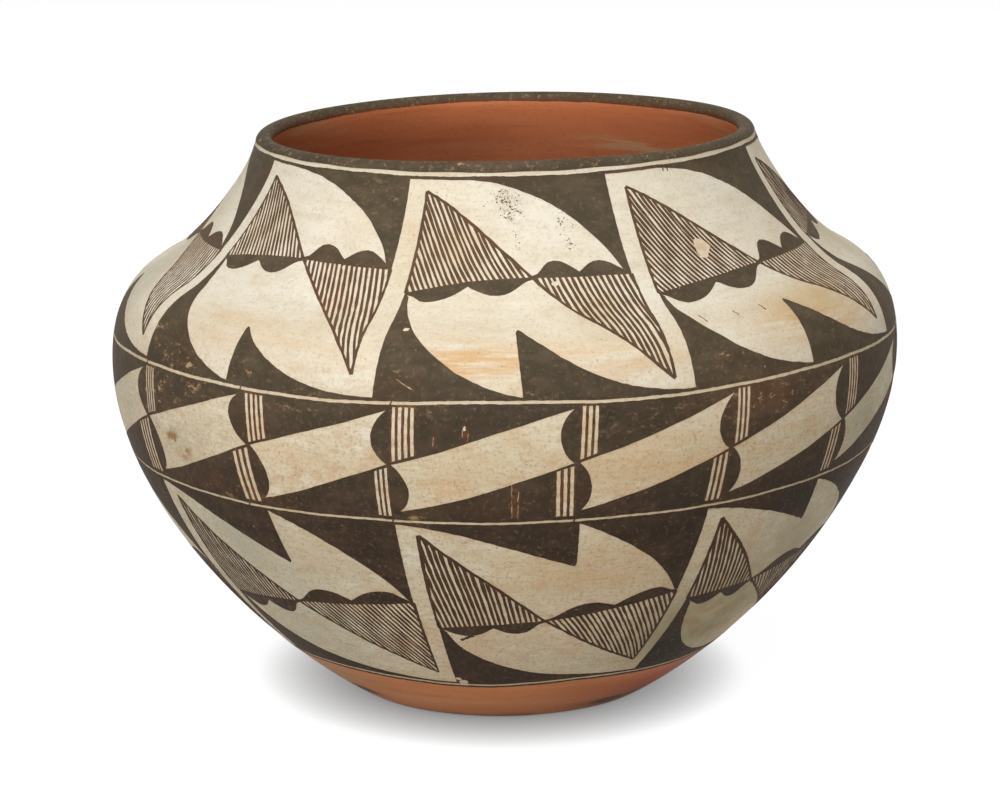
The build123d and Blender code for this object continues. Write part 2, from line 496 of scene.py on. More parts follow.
def coat_mesh(name, low, high, spacing, lift, columns):
    """A thin coat between two edges, which may wander round the jar, with its marks' places."""
    angles = np.arange(columns) * 360 / columns
    low = np.broadcast_to(low, columns)
    high = np.broadcast_to(high, columns)
    share = steps_between(0, 1, spacing / np.max(high - low))[:, None]
    outer = low + share * (high - low)
    distance = np.vstack((outer, outer[::-1]))
    rows = len(outer)
    lifts = np.repeat((lift[1], lift[0]), rows)[:, None]
    weight = np.repeat((1.0, UNDERSIDE_SHARE), rows)
    mesh = turned_mesh(name, angles, distance, lifts, weight, True)
    return mesh, np.broadcast_to(angles, distance.shape), distance


def seam_distances():
    """Where the lapped joints between coils come out, on the outside and on the inside."""
    foot = DISTANCE[np.argmin(np.hypot(*(CLAY - foot_point(COAT)).T))]
    lip = LIP_TOP - CLAY_WALL / 2 * pi / 2
    course = (lip - foot - BASE_SIDE - RIM_SIDE) / COIL_COUNT
    inside = DISTANCE > LIP_TOP
    found = []
    for step in range(COIL_COUNT + 1):
        outer = foot + BASE_SIDE + course * step
        at = np.argmin(abs(DISTANCE - outer))
        inner_point = CLAY[at] - CLAY_NORMAL[at] * CLAY_WALL - slope[at] * LAP
        gap = np.hypot(*(CLAY[inside] - inner_point).T)
        found.append((outer, DISTANCE[inside][np.argmin(gap)]))
    return found


def clay_mesh(name, runs, spacing, closes):
    """A clay piece from the runs of outline that bound it."""
    angles = np.arange(CLAY_COLUMNS) * 360 / CLAY_COLUMNS
    rows = np.concatenate([steps_between(start, end, spacing) for start, end in runs])
    distance = np.repeat(rows[:, None], CLAY_COLUMNS, axis=1)
    return turned_mesh(name, angles, distance, np.zeros((len(rows), 1)), np.ones(len(rows)), closes)


def clay_pieces(material):
    seams = seam_distances()
    outer, inner = seams[0]
    runs = [(UNDERSIDE_MIDDLE + AXIS_GAP, outer), (inner, FLOOR_MIDDLE - AXIS_GAP)]
    meshes = {"moulded_base": clay_mesh("moulded_base", runs, CLAY_ROW, False)}
    for step in range(COIL_COUNT):
        low, high = seams[step], seams[step + 1]
        name = f"coil_course_{step + 1}"
        meshes[name] = clay_mesh(name, [(low[0], high[0]), (high[1], low[1])], CLAY_ROW, True)
    outer, inner = seams[-1]
    meshes["rim_coil"] = clay_mesh("rim_coil", [(outer, inner)], LIP_ROW, True)
    for name, mesh in meshes.items():
        finish_piece("clay_" + name, mesh, material, [name])


# Drawing the painted pattern: outlines are lists of angle and distance
def span(start, end):
    """Millimetres from one place to another, near enough."""
    return hypot((end[0] - start[0]) * degree_length(start[1]), end[1] - start[1])


def flat_scale(points):
    """What angles and distances are multiplied by to be millimetres."""
    return np.column_stack((degree_length(points[:, 1]), np.ones(len(points))))


def line(start, end, spacing=LINE_STEP):
    t = np.linspace(0, 1, max(2, int(span(start, end) / spacing) + 1))[:, None]
    return np.asarray(start) + t * (np.asarray(end) - np.asarray(start))


def sweep(start, low, high, end):
    return curve(start, low, high, end, max(FEWEST_POINTS, int(span(start, end) / CURVE_STEP)))


def joined(*runs):
    return np.vstack(runs)


def polygon(*corners):
    return joined(*[line(a, b)[:-1] for a, b in zip(corners, corners[1:] + corners[:1])])


def ring(low, high):
    """A stripe all the way round, which runs past the seam at both ends."""
    return polygon((SEAM, low), (-SEAM, low), (-SEAM, high), (SEAM, high))


def stroke(points, width, rng, wobble=BRUSH_WOBBLE):
    """A brush line of about this width in mm along some points."""
    scale = flat_scale(points)
    flat = points * scale
    run = np.gradient(flat, axis=0)
    run /= np.maximum(np.linalg.norm(run, axis=1), TINY)[:, None]
    side = np.column_stack((-run[:, 1], run[:, 0]))
    widths = np.array([width / 2 * (1 + rng.uniform(-wobble, wobble)) for _ in points])[:, None]
    return joined((flat + side * widths) / scale, ((flat - side * widths) / scale)[::-1])


def clipped(outline, point, lean):
    """Ends of the line through a point at this lean, where it meets an outline."""
    level = np.mean(outline[:, 1])
    scale = np.array((degree_length(level), 1))
    flat = (outline - point) * scale
    way = np.array((-cos(radians(lean)), sin(radians(lean))))
    across = flat @ np.array((-way[1], way[0]))
    ahead = flat @ way
    after = np.roll(across, -1)
    cuts = np.nonzero((across > 0) != (after > 0))[0]
    if len(cuts) < 2:
        return None
    share = across[cuts] / (across[cuts] - after[cuts])
    reach = ahead[cuts] + share * (np.roll(ahead, -1)[cuts] - ahead[cuts])
    return [np.asarray(point) + way * r / scale for r in (reach.max(), reach.min())]


def hatching(outline, start, end, pitch, leans, rng):
    """Close brush lines that cross a triangle from one side of it."""
    start, end = np.asarray(start), np.asarray(end)
    count = round(span(start, end) / pitch)
    lines = []
    for step in range(count):
        share = (step + HATCH_START + rng.uniform(-HATCH_SHAKE, HATCH_SHAKE)) / count
        lean = leans[0] + share * (leans[1] - leans[0]) + rng.uniform(-LEAN_SHAKE, LEAN_SHAKE)
        ends = clipped(outline, start + share * (end - start), lean)
        if ends is not None and abs(ends[0][1] - ends[1][1]) > SHORTEST_HATCH:
            width = pitch * sin(radians(lean)) * rng.uniform(*HATCH_SHARE)
            lines.append(stroke(line(ends[0], ends[1], HATCH_STEP), width, rng))
    return lines


def bowed(start, end, bow):
    """A line that rises by this much in its middle."""
    points = line(start, end)
    share = np.linspace(0, 1, len(points))
    points[:, 1] += bow * 4 * share * (1 - share)
    return points


def lobed_bar(cross, corner, depth, places, bow):
    """A bar out from the crossing, with two round lobes: below it, or above for a negative depth."""
    near, dip, far = places
    near_depth, dip_depth, far_depth = LOBE_DEPTHS
    before_near, after_near, before_far, after_far = LOBE_GUIDES
    reach, side = DIP_GUIDE
    first, last = BAR_ENDS
    cross, corner = np.asarray(cross), np.asarray(corner)
    shift = BAR_THICKNESS if depth > 0 else -BAR_THICKNESS
    swell = depth - shift

    def at(share, drop):
        rise = bow * 4 * share * (1 - share) - shift - drop * swell
        return cross + share * (corner - cross) + (0, rise)

    near_lobe, between, far_lobe = at(near, near_depth), at(dip, dip_depth), at(far, far_depth)
    edge = joined(
        sweep(at(0, 0), at(*first), at(near - before_near, near_depth), near_lobe),
        sweep(near_lobe, at(near + after_near, near_depth), at(dip - reach, side), between),
        sweep(between, at(dip + reach, side), at(far - before_far, far_depth), far_lobe),
        sweep(far_lobe, at(far + after_far, far_depth), at(*last), at(1, 0)),
    )
    back = bowed(corner, cross, bow) + (0, shift * BAR_BACK)
    return joined(edge, back)


def upper_spandrel(panel, style):
    """The black corner outside the long arc, at the upper right of a panel."""
    high, edge = style.high - FRAME_LINE, style.high - FRAME_LINE / 2
    wide = panel.right - panel.left
    u_start, u_low, u_high, rise = panel.arc or style.arc
    corner = panel.right_corner
    start = panel.left + u_start * wide
    arc = sweep(
        (start, high), (panel.left + u_low * wide, high),
        (panel.left + u_high * wide, corner + rise * (high - corner)),
        (panel.right + ARC_END[0], corner + ARC_END[1]),
    )
    top = (panel.right + panel.top_lean, edge)
    return joined(line((panel.right, corner), top), line(top, (start, edge)), arc)


def lower_spandrel(panel, style):
    """The black corner outside the short arc, at the lower left of a panel."""
    low, edge = style.low + FRAME_LINE, style.low + FRAME_LINE / 2
    wide = panel.right - panel.left
    drop = panel.left_corner - low
    u_high, climb_high, u_low, climb_low = style.short_arc
    end = panel.fin_foot - SHORT_ARC_GAP
    arc = sweep(
        (panel.left + SHORT_ARC_START[0], panel.left_corner + SHORT_ARC_START[1]),
        (panel.left + u_high * wide, low + climb_high * drop),
        (panel.left + u_low * wide, low + climb_low * drop), (end, low),
    )
    foot = (panel.left + panel.low_lean, edge)
    return joined(arc, line((end, edge), foot), line(foot, (panel.left, panel.left_corner)))


def fin(panel, style, next_left):
    """The black fin with a blunt tip, which stands on the lower edge and runs out along it."""
    low, edge = style.low + FRAME_LINE, style.low + FRAME_LINE / 2
    angle, level = panel.tip
    fall = level - low
    far = next_left - angle
    u_high, drop, u_low, climb = panel.fin or style.fin
    back = sweep(
        (angle + TIP_BACK[0], level + TIP_BACK[1]), (angle + u_high * far, level - drop * fall),
        (angle + u_low * far, low + climb * fall), (next_left, low),
    )
    under = line((next_left, edge), (panel.fin_foot, edge))
    front = line((panel.fin_foot, low), (angle + TIP_FRONT[0], level + TIP_FRONT[1]))
    return joined(back, under, front, [(angle + TIP_POINT[0], level + TIP_POINT[1])])


def triangles(panel, style, rng):
    """The two hatched triangles and their outlines."""
    left_corner, right_corner = (panel.left, panel.left_corner), (panel.right, panel.right_corner)
    cross, apex, foot = (np.array(p) for p in (panel.cross, panel.apex, panel.foot))
    bend = np.array((0, style.bulge * CURVE_GUIDE))
    upper_side = sweep(apex, apex + (cross - apex) / 3 + bend, apex + (cross - apex) * 2 / 3 + bend, cross)
    lean = np.array((panel.bend * CURVE_GUIDE, 0))
    lower_side = sweep(cross, cross + (foot - cross) / 3 + lean, cross + (foot - cross) * 2 / 3 + lean, foot)
    base = bowed(cross, left_corner, panel.bow)
    left_side = line(left_corner, apex)
    right_side = line(foot, right_corner)
    upper = joined(upper_side, base, left_side)
    lower = joined(lower_side, right_side, line(right_corner, cross))
    strokes = [stroke(side, SIDE_WIDTH, rng) for side in (upper_side, lower_side, left_side, right_side)]
    strokes += hatching(upper, left_corner, cross, style.upper_pitch, style.upper_lean, rng)
    strokes += hatching(lower, cross, right_corner, style.lower_pitch, style.lower_lean, rng)
    return strokes


def panel_shapes(panel, style, next_left, rng):
    """All the black of one panel, as the upper band has it."""
    left_corner, right_corner = (panel.left, panel.left_corner), (panel.right, panel.right_corner)
    return [
        upper_spandrel(panel, style),
        lower_spandrel(panel, style),
        fin(panel, style, next_left),
        lobed_bar(panel.cross, left_corner, panel.lobes, LEFT_LOBES, panel.bow),
        lobed_bar(panel.cross, right_corner, -panel.lobes, RIGHT_LOBES, 0),
        *triangles(panel, style, rng),
    ]


def redrawn(panel, left, right, rng):
    """The same panel between two other sides, with the small differences of handwork."""
    grow = (right - left) / (panel.right - panel.left)
    aside, rise = PANEL_SHAKE

    def at(point):
        angle = left + (point[0] - panel.left) * grow + rng.uniform(-aside, aside)
        return angle, point[1] + rng.uniform(-rise, rise)

    return panel._replace(
        left=left, right=right, left_corner=panel.left_corner + rng.uniform(-rise, rise),
        right_corner=panel.right_corner + rng.uniform(-rise, rise), cross=at(panel.cross),
        apex=(left + APEX_GAP, panel.apex[1]), foot=(right - FOOT_GAP, panel.foot[1]), tip=at(panel.tip),
        fin_foot=left + (panel.fin_foot - panel.left) * grow,
    )


def all_round(seen, rng):
    """The panels in the photograph and, evenly between them, copies of two of them on the hidden side."""
    stripe = sum(b.left - a.right for a, b in zip(seen, seen[1:])) / (len(seen) - 1)
    hidden = PANEL_COUNT - len(seen)
    pitch = (seen[0].left + 360 - seen[-1].right - stripe) / hidden
    panels = list(seen)
    aside = PANEL_SHAKE[0]
    for step in range(hidden):
        left = seen[-1].right + stripe + step * pitch + rng.uniform(-aside, aside)
        right = seen[-1].right + (step + 1) * pitch + rng.uniform(-aside, aside)
        panels.append(redrawn(seen[1 + step % 2], left, right, rng))
    return panels


def frame_lines(low, high):
    """The black lines along the two edges of a band."""
    return [ring(low, low + FRAME_LINE), ring(high - FRAME_LINE, high)]


def upper_band(rng):
    panels = all_round(UPPER_PANELS, rng)
    shapes = frame_lines(*UPPER_BAND)
    for step, panel in enumerate(panels):
        following = panels[step + 1].left if step + 1 < len(panels) else panels[0].left + 360
        shapes += panel_shapes(panel, UPPER_STYLE, following, rng)
    return shapes


def upside_down(panel):
    """A panel of the lower band, turned half round so that it is drawn as the upper ones are."""
    level = LOWER_BAND[0] + LOWER_BAND[1]

    def turned(point):
        return -point[0], level - point[1]

    return panel._replace(
        left=-panel.right, right=-panel.left, left_corner=level - panel.right_corner,
        right_corner=level - panel.left_corner, cross=turned(panel.cross), apex=turned(panel.foot),
        foot=turned(panel.apex), tip=turned(panel.tip), fin_foot=-panel.fin_foot,
        top_lean=-panel.low_lean, low_lean=-panel.top_lean, bend=-panel.bend,
    )


def lower_band(rng):
    panels = all_round(LOWER_PANELS, rng)
    level = LOWER_BAND[0] + LOWER_BAND[1]
    shapes = frame_lines(*LOWER_BAND)
    for step, panel in enumerate(panels):
        before = panels[step - 1].right if step else panels[-1].right - 360
        drawn = panel_shapes(upside_down(panel), LOWER_STYLE, -before, rng)
        shapes += [np.array((0, level)) - shape for shape in drawn]
    return shapes


def knots_all_round(rng):
    """The knots in the photograph and, evenly between them, the ones on the hidden side."""
    hidden = KNOT_COUNT - len(KNOTS)
    pitch = (KNOTS[0].angle + 360 - KNOTS[-1].angle) / (hidden + 1)
    knots = list(KNOTS)
    aside, rise = KNOT_SHAKE
    for step in range(hidden):
        model = KNOTS[step % len(KNOTS)]
        angle = KNOTS[-1].angle + pitch * (step + 1) + rng.uniform(-aside, aside)
        knots.append(model._replace(angle=angle, level=model.level + rng.uniform(-rise, rise)))
    return knots


def round_side(start, end, bulge):
    """A side that bends out to the left of its chord, or to the right for a negative bulge."""
    reach = bulge * CURVE_GUIDE
    climb = ROUND_GUIDE * (end[1] - start[1])
    return sweep(start, (start[0] - reach, start[1] + climb), (end[0] - reach, end[1] - climb), end)


def diamond(knot, after):
    """The white diamond between two knots. Round black lobes bite into two of its sides."""
    start, end = (knot.angle + KNOT_HALF, knot.level), (after.angle - KNOT_HALF, after.level)
    top = (after.angle + after.top, DIAMOND_TOP)
    bottom = (knot.angle + knot.bottom, DIAMOND_BOTTOM)
    reach = (after.angle - knot.angle) / 4
    out, back = UPPER_GUIDES
    upper = sweep(start, (start[0] + reach, start[1] + out), (top[0] - reach, top[1] - back), top)
    out, back = LOWER_GUIDES
    lower = sweep(end, (end[0] - reach, end[1] - out), (bottom[0] + reach, bottom[1] + back), bottom)
    right = round_side(top, end, after.upper_bulge)
    left = round_side(bottom, start, -knot.lower_bulge)
    return joined(upper, right, lower, left)


def bar_row(knot, bars, slant, far):
    """White bars that end just short of the line through a knot, which rises at this slant."""
    pitch = bars.width / (bars.count - SPACE_SHARE)
    wide = BAR_SHARE * pitch
    gap = BARS_GAP if far > knot.level else -BARS_GAP
    row = []
    for step in range(bars.count):
        near = [knot.angle + bars.start + step * pitch + side for side in (0, wide)]
        ends = [(x, knot.level + (x - knot.angle) * slant + gap) for x in near]
        row.append(polygon(*ends, (near[1] + bars.lean, far), (near[0] + bars.lean, far)))
    return row


def middle_band(rng):
    low, high = MIDDLE_BAND
    knots = knots_all_round(rng)
    black = [ring(low, high)]
    white = []
    for step, knot in enumerate(knots):
        after, before = knots[(step + 1) % len(knots)], knots[step - 1]
        after = after._replace(angle=knot.angle + (after.angle - knot.angle) % 360)
        before = before._replace(angle=knot.angle - (knot.angle - before.angle) % 360)
        up_slant = (DIAMOND_TOP - knot.level) / (after.angle + after.top - knot.angle)
        down_slant = (knot.level - DIAMOND_BOTTOM) / (knot.angle - before.angle - before.bottom)
        white.append(diamond(knot, after))
        white += bar_row(knot, knot.upper_bars, up_slant, BARS_TOP)
        white += bar_row(knot, knot.lower_bars, down_slant, BARS_BOTTOM)
    for ticks, start, end in ((LOWER_TICKS, LOWER_BAND[1], low), (UPPER_TICKS, high, UPPER_BAND[0])):
        for x in ticks:
            tick = line((x, start - TICK_REACH), (x + TICK_LEAN, end + TICK_REACH), TICK_STEP)
            black.append(stroke(tick, TICK_WIDTH, rng))
    return black, white


def smears(rng):
    """Stray touches of the brush."""
    return [stroke(line(s[:2], s[2:4], SMEAR_STEP), s[4], rng, SMEAR_WOBBLE) for s in SMEARS]


def blob(angle, distance, wide, tall, rng, corners=BLOB_CORNERS):
    """A ragged round outline with these half sizes in mm."""
    turns = np.arange(corners) * 2 * pi / corners
    size = np.array([rng.uniform(*BLOB_SIZES) for _ in turns])
    aside = size * wide * np.cos(turns) / degree_length(distance)
    return np.column_stack((angle + aside, distance + size * tall * np.sin(turns)))


def pits(rng):
    """Clusters of small dark pits in the slip near the rim."""
    found = []
    for angle, distance, wide, tall, count in PITS:
        for _ in range(count):
            size = rng.choice(PIT_SIZES) * rng.uniform(*PIT_SPREAD)
            spot = (angle + rng.gauss(0, wide) / degree_length(distance), distance + rng.gauss(0, tall))
            found.append(blob(*spot, size * rng.uniform(*PIT_STRETCH), size, rng, PIT_CORNERS))
    return found


def bare_places(rng):
    """Flaked spots and fine scratches, where the slip shows through the paint."""
    scratches = [line(s[:2], s[2:], SCRATCH_STEP) for s in SCRATCHES]
    scratched = [stroke(points, SCRATCH_WIDTH, rng, SCRATCH_WOBBLE) for points in scratches]
    return [blob(*spall, rng) for spall in SPALLS] + scratched


# Making the paint: the outlines are cut into small triangles and wrapped on the jar as thin films
def line_wobble(angle, distance):
    """How far the long painted lines rise and fall round the jar, in mm."""
    turn = np.radians(angle)
    rise = 0
    for level, reach, count, phase, size in LINE_WAVES:
        rise = rise + size * np.exp(-((distance - level) / reach) ** 2) * np.sin(count * turn + phase)
    at_rim = np.exp(-((distance - RIM_PAINT_START) / RIM_DIP_REACH) ** 2)
    return rise - at_rim * np.exp(-(off_front(angle) / RIM_RISE[1]) ** 2)


def wander(angle, distance):
    """The unsteady hand: small shifts of the whole drawing in degrees and in mm."""
    turn = np.radians(angle)
    shift = ripple(turn, distance, SHIFT_WAVES)
    lift = ripple(turn, distance, RISE_WAVES) + line_wobble(angle, distance)
    rough = ripple(turn, distance, ROUGH_WAVES)
    return angle + shift + rough / 2, distance + lift + rough


def wrapped(shapes):
    """Each outline, and its copy one turn away where it crosses the seam."""
    result = []
    for is_black, points in shapes:
        for turn in (-360, 0, 360):
            moved = points + (turn, 0)
            if moved[:, 0].max() > SEAM - 1 and moved[:, 0].min() < SEAM_END + 1:
                result.append((is_black, moved))
    return result


def inside(points, outline):
    """Which points lie in an outline, by counting crossings."""
    x, y = points[:, 0][:, None], points[:, 1][:, None]
    after = np.roll(outline, -1, axis=0)
    spans = (outline[:, 1] > y) != (after[:, 1] > y)
    rise = np.where(after[:, 1] == outline[:, 1], 1, after[:, 1] - outline[:, 1])
    reach = outline[:, 0] + (y - outline[:, 1]) / rise * (after[:, 0] - outline[:, 0])
    return np.count_nonzero(spans & (x < reach), axis=1) % 2 == 1


def is_broad(outline):
    """Whether an outline encloses more than a brush line would."""
    flat = outline * flat_scale(outline)
    steps = np.roll(flat, -1, axis=0) - flat
    area = abs(np.sum(flat[:, 0] * steps[:, 1] - flat[:, 1] * steps[:, 0])) / 2
    return area > BROWN_EDGE * 2 * np.sum(np.hypot(*steps.T))


def edge_points(outline):
    """Points close on both sides of a broad outline, which keep the brown edge of its paint narrow."""
    if not is_broad(outline):
        return []
    scale = flat_scale(outline)
    flat = outline * scale
    way = np.roll(flat, -1, axis=0) - np.roll(flat, 1, axis=0)
    side = np.column_stack((-way[:, 1], way[:, 0])) / np.maximum(np.hypot(*way.T), TINY)[:, None]
    return joined(*[(flat + side * reach) / scale for reach in (-BROWN_EDGE, BROWN_EDGE)])


def cut_up(shapes, low, high):
    """Triangles over a whole band that keep to every outline, in angle and distance."""
    corners, edges = [], []

    def add(points, closed):
        first = len(corners)
        corners.extend(Vector((a * CUT_DEGREE, d)) for a, d in points)
        edges.extend((first + k, first + k + 1) for k in range(len(points) - 1))
        if closed:
            edges.append((first + len(points) - 1, first))

    levels = np.linspace(low, high, int((high - low) / CUT_ROW) + 1)
    angles = np.linspace(SEAM, SEAM_END, CUT_COLUMNS)
    for angle in (SEAM, SEAM_END):
        add([(angle, level) for level in levels], False)
    for level in (low, high):
        add([(angle, level) for angle in angles], False)
    for _, points in shapes:
        add(points, True)
        near = [(a, d) for a, d in edge_points(points) if SEAM < a < SEAM_END and low < d < high]
        corners.extend(Vector((a * CUT_DEGREE, d)) for a, d in near)
    for row, level in enumerate(levels[1:-1]):
        stagger = CUT_STAGGER * (row % 2)
        corners.extend(Vector(((a + stagger) * CUT_DEGREE, level)) for a in angles[1:-1])
    found = delaunay_2d_cdt(corners, edges, [], 0, CUT_MERGE)
    points = np.array([(v.x / CUT_DEGREE, v.y) for v in found[0]])
    return points, np.array([f for f in found[2] if len(f) == 3])


def painted_triangles(points, triangles, shapes, low, high):
    """The triangles that the last outline over them makes black, and whether a broad one covers them."""
    middles = points[triangles].mean(axis=1)
    order = np.argsort(middles[:, 0])
    sorted_angles = middles[order, 0]
    black, broad = np.zeros((2, len(triangles)), bool)
    for is_black, outline in shapes:
        first = np.searchsorted(sorted_angles, outline[:, 0].min())
        last = np.searchsorted(sorted_angles, outline[:, 0].max())
        near = order[first:last]
        level = middles[near, 1]
        near = near[(level > outline[:, 1].min()) & (level < outline[:, 1].max())]
        covered = near[inside(middles[near], outline)]
        black[covered] = is_black
        broad[covered] |= is_broad(outline)
    within = (middles[:, 0] > SEAM) & (middles[:, 0] < SEAM_END)
    within &= (middles[:, 1] > low) & (middles[:, 1] < high)
    return triangles[black & within], broad[black & within]


def welded(points, triangles, broad):
    """The same triangles with the two sides of the seam joined and unused corners dropped."""
    places, corner_of = {}, {}
    kept = []
    for corner in np.unique(triangles):
        angle, distance = points[corner]
        key = (round((angle - SEAM) % 360, WELD_DIGITS) % 360, round(distance, WELD_DIGITS))
        if key not in places:
            places[key] = len(kept)
            kept.append((angle, distance))
        corner_of[corner] = places[key]
    joined_up = np.vectorize(corner_of.get)(triangles)
    whole = [len(set(t)) == 3 for t in joined_up.tolist()]
    return np.array(kept), joined_up[whole], broad[whole]


def film_mesh(name, shapes, low, high):
    """A closed thin film of paint in the given outlines."""
    shapes = wrapped(shapes)
    points, triangles = cut_up(shapes, low, high)
    painted = painted_triangles(points, triangles, shapes, low, high)
    points, triangles, broad = welded(points, *painted)
    angle, distance = wander(points[:, 0], points[:, 1])
    top = place(angle, distance, COAT + PAINT_RISE)
    under = place(angle, distance, COAT - PAINT_SINK)
    count = len(points)
    sides = Counter()
    for a, b, c in triangles.tolist():
        sides.update(((a, b), (b, c), (c, a)))
    walls = [(b, a, a + count, b + count) for a, b in sides if (b, a) not in sides]
    faces = triangles.tolist() + (triangles[:, ::-1] + count).tolist() + walls
    mesh = bpy.data.meshes.new(name)
    mesh.from_pydata(np.vstack((top, under)).tolist(), [], faces)
    u = (points[:, 0] - SEAM) / 360
    v = (points[:, 1] - low) / (high - low)
    under_v = UNDER_MAP[0] + UNDER_MAP[1] * v
    spread = np.vstack((np.column_stack((u, TOP_MAP * v)), np.column_stack((u, under_v))))
    corner = np.empty(len(mesh.loops), np.int32)
    mesh.loops.foreach_get("vertex_index", corner)
    wall_loops = len(corner) - 4 * len(walls)
    corner[wall_loops:] %= count
    mesh.uv_layers.new(name="OFBake").data.foreach_set("uv", spread[corner].ravel())
    rim, in_broad = np.zeros((2, count), bool)
    rim[np.unique(walls) % count] = True
    in_broad[triangles[broad]] = True
    brown = np.where(in_broad, rim, THIN_BROWN)
    return mesh, np.tile(angle, 2), np.tile(distance, 2), np.tile(brown, 2)


# Materials
SPECK_CORE = 0.5
SPECK_BLEND = 0.05


def colour(red, green, blue):
    """A colour from the usual 0 to 255 values."""
    return tuple(((c / 255 + 0.055) / 1.055) ** 2.4 for c in (red, green, blue)) + (1,)


def grey(share):
    return (share, share, share, 1)


def add_node(tree, kind, inputs=None, **settings):
    """A shader node. Each of its inputs takes a plain value or what another node puts out."""
    made = tree.nodes.new(kind)
    for name, value in settings.items():
        setattr(made, name, value)
    for name, value in (inputs or {}).items():
        if isinstance(value, bpy.types.NodeSocket):
            tree.links.new(value, made.inputs[name])
        else:
            made.inputs[name].default_value = value
    return made


class Recipe:
    """One material: a base colour that is tinted layer on layer, and bumps."""

    def __init__(self, name, roughness, shine=0.1):
        self.material = bpy.data.materials.new(name)
        self.material.use_nodes = True
        self.tree = self.material.node_tree
        self.surface = self.tree.nodes["Principled BSDF"]
        self.surface.inputs["Roughness"].default_value = roughness
        self.surface.inputs["Specular IOR Level"].default_value = shine
        self.spot = self.node("ShaderNodeTexCoord").outputs["Object"]
        self.height = self.node("ShaderNodeSeparateXYZ", {"Vector": self.spot}).outputs["Z"]
        self.base = None

    def node(self, kind, inputs=None, **settings):
        return add_node(self.tree, kind, inputs, **settings)

    def stretched(self, scale, shift):
        size = scale if isinstance(scale, tuple) else (scale,) * 3
        inputs = {0: self.spot, 1: size, 2: (shift,) * 3}
        return self.node("ShaderNodeVectorMath", inputs, operation="MULTIPLY_ADD").outputs[0]

    def noise(self, scale, shift, detail=3.0, rough=0.55):
        """Soft noise, with this many features to the metre."""
        inputs = {"Vector": self.stretched(scale, shift), "Scale": 1.0, "Detail": detail, "Roughness": rough}
        return self.node("ShaderNodeTexNoise", inputs).outputs["Fac"]

    def specks(self, scale, shift, size, share):
        """Small round spots of this size in some of the cells of a loose grid."""
        inputs = {"Vector": self.stretched(scale, shift), "Scale": 1.0}
        cells = self.node("ShaderNodeTexVoronoi", inputs).outputs
        chance = self.node("ShaderNodeSeparateColor", {"Color": cells["Color"]}).outputs[0]
        near = self.band(cells["Distance"], size, size * SPECK_CORE)
        return self.times(near, self.band(chance, 1 - share, 1 - share + SPECK_BLEND))

    def band(self, value, low, high):
        """Rises smoothly from 0 at the first value to 1 at the second."""
        inputs = {"Value": value, "From Min": low, "From Max": high}
        return self.node("ShaderNodeMapRange", inputs, interpolation_type="SMOOTHSTEP").outputs["Result"]

    def cloudy(self, low, high, *noise):
        """Soft patches where the noise is high: none at the first value, full at the second."""
        return self.band(self.noise(*noise), low, high)

    def times(self, a, b):
        return self.node("ShaderNodeMath", {0: a, 1: b}, operation="MULTIPLY").outputs[0]

    def ramp(self, value, slope, start):
        inputs = {0: self.times(value, slope), 1: start}
        return self.node("ShaderNodeMath", inputs, operation="ADD").outputs[0]

    def mark(self, name):
        return self.node("ShaderNodeAttribute", attribute_name=name).outputs["Fac"]

    def mix(self, share, a, b):
        return self.node("ShaderNodeMix", {0: share, 6: a, 7: b}, data_type="RGBA").outputs[2]

    def tint(self, over, share, strength=None):
        """Lays a colour over the base by this share, which may be weakened."""
        if strength is not None:
            share = self.times(share, strength)
        self.base = self.mix(share, self.base, colour(*over))

    def dents(self):
        """The shallow dents of hand building, which show through every coat, with their depth."""
        return self.noise(60, 43), 0.35

    def finish(self, roughness, bumps):
        """Wires up the colour, the roughness and the bumps, given as height and depth in mm."""
        normal = {}
        for height, depth in bumps:
            inputs = {"Height": height, "Distance": depth * MM, "Strength": 1.0} | normal
            normal = {"Normal": self.node("ShaderNodeBump", inputs).outputs["Normal"]}
        for name, value in ({"Base Color": self.base, "Roughness": roughness} | normal).items():
            self.tree.links.new(value, self.surface.inputs[name])
        return self.material


